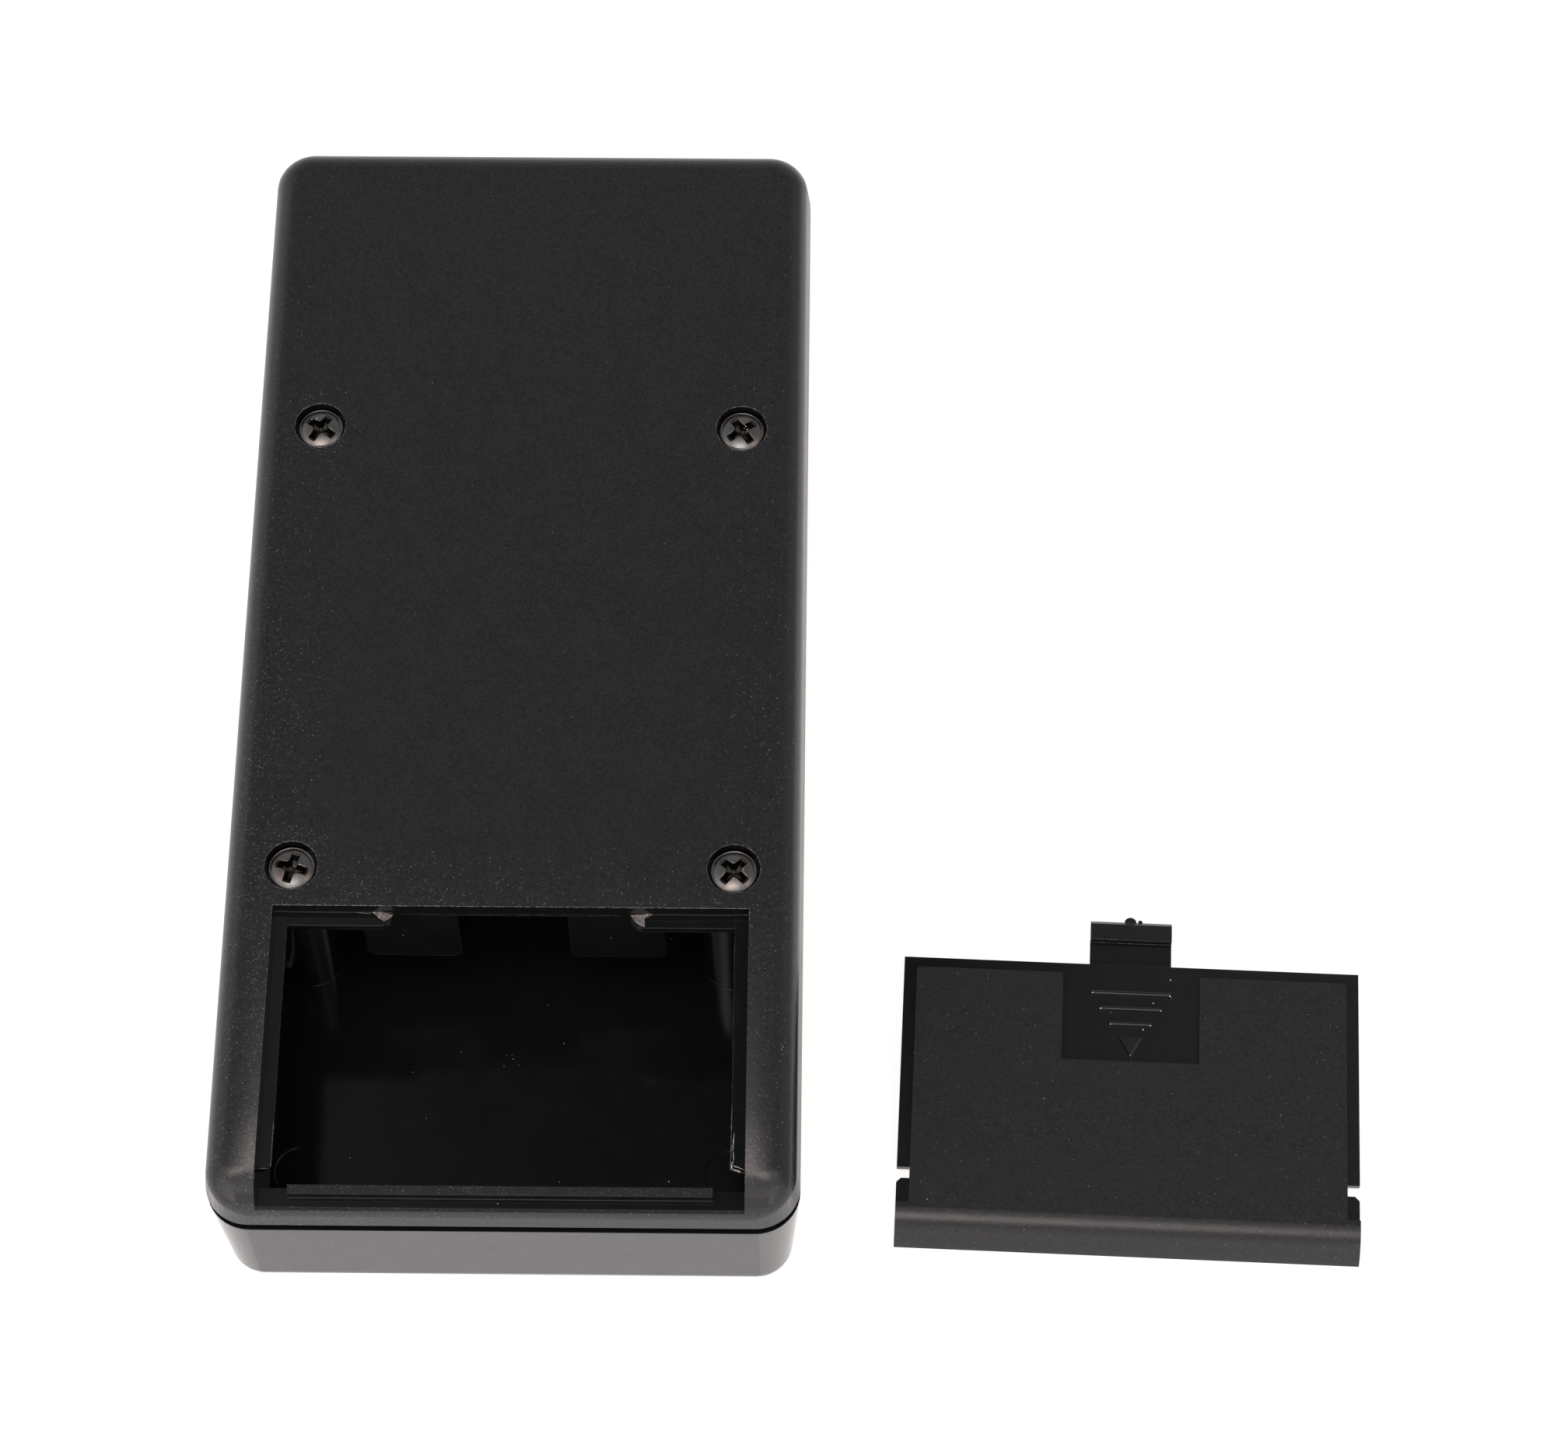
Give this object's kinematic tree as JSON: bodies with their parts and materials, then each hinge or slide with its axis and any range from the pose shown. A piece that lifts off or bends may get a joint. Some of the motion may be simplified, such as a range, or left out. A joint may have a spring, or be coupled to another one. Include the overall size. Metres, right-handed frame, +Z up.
{
  "type": "handheld enclosure",
  "caption": "Black plastic handheld enclosure lying face down, two shells held by case screws, open battery bay, ribbed battery cover laid beside it.",
  "frame": {"origin": "centre of the front shell's flat resting face, on the table", "axes": "+Z up, out of the back of the case; +Y along the case, away from the battery bay; +X towards the side where the cover lies"},
  "size_m": [0.1463, 0.1554, 0.0296],
  "materials": {
    "shell_plastic": "fine matte texture outside, smoother inside",
    "screw_metal": "dark plated, slightly iridescent"
  },
  "bodies": {
    "case": {"front_shell": "shell_plastic", "back_shell": "shell_plastic", "case_screws": "screw_metal"},
    "cover": {"battery_cover": "shell_plastic"}
  },
  "joints": [
    {"name": "cover_lift", "type": "slide", "parent": "case", "child": "cover", "axis": [0, 0, 1], "range_m": [0, 0.05]}
  ]
}
